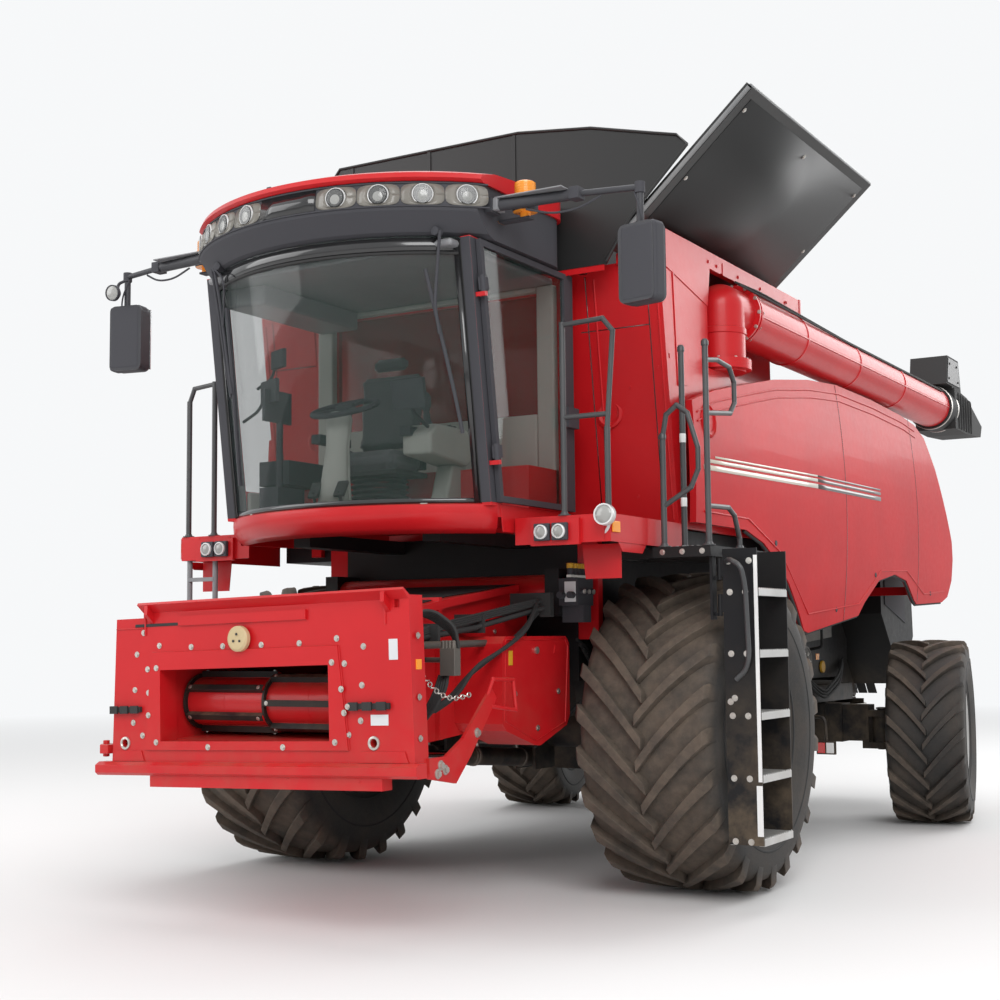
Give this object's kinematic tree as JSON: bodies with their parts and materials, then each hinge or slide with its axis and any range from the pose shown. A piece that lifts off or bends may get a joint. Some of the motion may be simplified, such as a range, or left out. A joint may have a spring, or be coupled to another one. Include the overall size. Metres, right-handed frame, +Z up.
{
  "type": "combine harvester",
  "caption": "Large wheeled grain harvester without a header: cab, feeder house, open tank cover, folded unloading auger, steered rear axle",
  "frame": {"origin": "on the ground under the middle of the machine's bounding box", "axes": "+Z up; the cab and feeder look along -Y; the machine's left side, with ladder and unloading auger, is +X"},
  "size_m": [4.3877, 9.062, 4.6235],
  "materials": {
    "black_steel": "satin",
    "red_panel": "gloss",
    "cover_black": "satin",
    "grey_metal": "satin",
    "dark_plastic": "matte",
    "cab_glass": "clear",
    "seat_fabric": "woven",
    "lamp_silver": "gloss",
    "amber_lens": "gloss",
    "soft_black": "matte",
    "chrome": "polished",
    "bright_steel": "satin",
    "tyre_rubber": "matte",
    "silver_paint": "satin"
  },
  "bodies": {
    "chassis": {"chassis_frame": "black_steel", "separator_body": "black_steel", "grain_tank": "red_panel", "tank_front_shield": "cover_black", "tank_rear_shield": "cover_black", "side_shield_left": "red_panel", "side_shield_right": "red_panel", "side_drives": "black_steel", "engine_block": "grey_metal", "engine_deck": "red_panel", "straw_hood": "black_steel", "cab_shell": "red_panel", "cab_roof": "red_panel", "roof_visor": "dark_plastic", "windscreen": "cab_glass", "cab_windows": "cab_glass", "driver_seat": "seat_fabric", "steering_console": "dark_plastic", "mirrors": "dark_plastic", "roof_lamps": "lamp_silver", "beacons": "amber_lens", "walkways": "red_panel", "platform_left": "black_steel", "handrails": "black_steel", "right_steps": "grey_metal", "rear_axle": "black_steel", "auger_elbow": "red_panel", "hydraulics": "dark_plastic", "rear_hitch": "black_steel"},
    "feeder": {"feeder_house": "red_panel", "feeder_hoses": "soft_black"},
    "header": {"header_frame": "red_panel"},
    "drum": {"feeder_drum": "red_panel"},
    "barrels": {"lift_barrels": "black_steel"},
    "rods": {"lift_rods": "chrome"},
    "door": {"cab_door": "dark_plastic", "door_glass": "cab_glass"},
    "ladder": {"ladder": "black_steel"},
    "cover_left": {"tank_cover_left": "cover_black"},
    "cover_right": {"tank_cover_right": "cover_black"},
    "auger": {"auger_tube": "red_panel", "auger_spout": "soft_black"},
    "knuckle_left": {"knuckle_left": "black_steel"},
    "knuckle_right": {"knuckle_right": "black_steel"},
    "tie_rod": {"tie_rod": "bright_steel"},
    "wheel_front_left": {"front_tyre_left": "tyre_rubber", "front_rim_left": "silver_paint"},
    "wheel_front_right": {"front_tyre_right": "tyre_rubber", "front_rim_right": "silver_paint"},
    "wheel_rear_left": {"rear_tyre_left": "tyre_rubber", "rear_rim_left": "silver_paint"},
    "wheel_rear_right": {"rear_tyre_right": "tyre_rubber", "rear_rim_right": "silver_paint"},
    "spreader_left": {"spreader_left": "black_steel"},
    "spreader_right": {"spreader_right": "black_steel"}
  },
  "joints": [
    {"name": "feeder_lift", "type": "hinge", "parent": "chassis", "child": "feeder", "pos_m": [0, -2.6, 1.78], "axis": [1, 0, 0], "range_deg": [-8, 14]},
    {"name": "header_tilt", "type": "hinge", "parent": "feeder", "child": "header", "pos_m": [-0.07, -4.42, 1.52], "axis": [0, 1, 0], "range_deg": [-2.6, 5.4]},
    {"name": "drum_spin", "type": "hinge", "parent": "feeder", "child": "drum", "pos_m": [-0.07, -4.16, 1.18], "axis": [1, 0, 0], "continuous": true},
    {"name": "barrel_swing", "type": "hinge", "parent": "chassis", "child": "barrels", "pos_m": [0, -2.16, 0.76], "axis": [1, 0, 0], "range_deg": [-12, 12]},
    {"name": "rod_slide", "type": "slide", "parent": "barrels", "child": "rods", "axis": [0, -0.9968, 0.0795], "range_m": [-0.3, 0.3]},
    {"name": "door_hinge", "type": "hinge", "parent": "chassis", "child": "door", "pos_m": [0.975, -3.68022, 3], "axis": [0, 0.1392, -0.9903], "range_deg": [0, 37]},
    {"name": "ladder_swing", "type": "hinge", "parent": "chassis", "child": "ladder", "pos_m": [1.905, -2.775, 1.2], "axis": [0, 0, 1], "range_deg": [-90, 0]},
    {"name": "cover_left_fold", "type": "hinge", "parent": "chassis", "child": "cover_left", "pos_m": [1.24, -1.65, 3.78], "axis": [0, -1, 0], "range_deg": [0, 138]},
    {"name": "cover_right_fold", "type": "hinge", "parent": "chassis", "child": "cover_right", "pos_m": [-1.24, -1.65, 3.78], "axis": [0, -1, 0], "range_deg": [0, 138]},
    {"name": "auger_swing", "type": "hinge", "parent": "chassis", "child": "auger", "pos_m": [1.48, -1.65, 3.245], "axis": [0, 0, -1], "range_deg": [0, 95]},
    {"name": "steer_left", "type": "hinge", "parent": "chassis", "child": "knuckle_left", "pos_m": [1.38, 1.87, 0.735], "axis": [0, 0, 1], "range_deg": [-40, 20]},
    {"name": "steer_right", "type": "hinge", "parent": "chassis", "child": "knuckle_right", "pos_m": [-1.38, 1.87, 0.735], "axis": [0, 0, 1], "range_deg": [-42, 22]},
    {"name": "tie_rod_turn", "type": "hinge", "parent": "knuckle_left", "child": "tie_rod", "pos_m": [1.30707, 2.28362, 0.645], "axis": [0, 0, 1], "range_deg": [-22, 42]},
    {"name": "front_left_roll", "type": "hinge", "parent": "chassis", "child": "wheel_front_left", "pos_m": [1.45, -1.98, 0.95], "axis": [1, 0, 0], "continuous": true},
    {"name": "front_right_roll", "type": "hinge", "parent": "chassis", "child": "wheel_front_right", "pos_m": [-1.45, -1.98, 0.95], "axis": [1, 0, 0], "continuous": true},
    {"name": "rear_left_roll", "type": "hinge", "parent": "knuckle_left", "child": "wheel_rear_left", "pos_m": [1.77392, 1.93946, 0.735], "axis": [0.9848, 0.1736, 0], "continuous": true},
    {"name": "rear_right_roll", "type": "hinge", "parent": "knuckle_right", "child": "wheel_rear_right", "pos_m": [-1.77392, 1.80054, 0.735], "axis": [0.9848, 0.1736, 0], "continuous": true},
    {"name": "spreader_left_spin", "type": "hinge", "parent": "chassis", "child": "spreader_left", "pos_m": [0.48, 3.17, 0.88], "axis": [0, 0, 1], "continuous": true},
    {"name": "spreader_right_spin", "type": "hinge", "parent": "chassis", "child": "spreader_right", "pos_m": [-0.48, 3.17, 0.88], "axis": [0, 0, 1], "continuous": true}
  ],
  "couplings": [
    {"joint": "steer_right", "follows": "steer_left", "ratio": 1},
    {"joint": "tie_rod_turn", "follows": "steer_left", "ratio": -1},
    {"joint": "barrel_swing", "follows": "feeder_lift", "ratio": 0.63776},
    {"joint": "rod_slide", "follows": "feeder_lift", "m_per_rad": -0.99653}
  ]
}
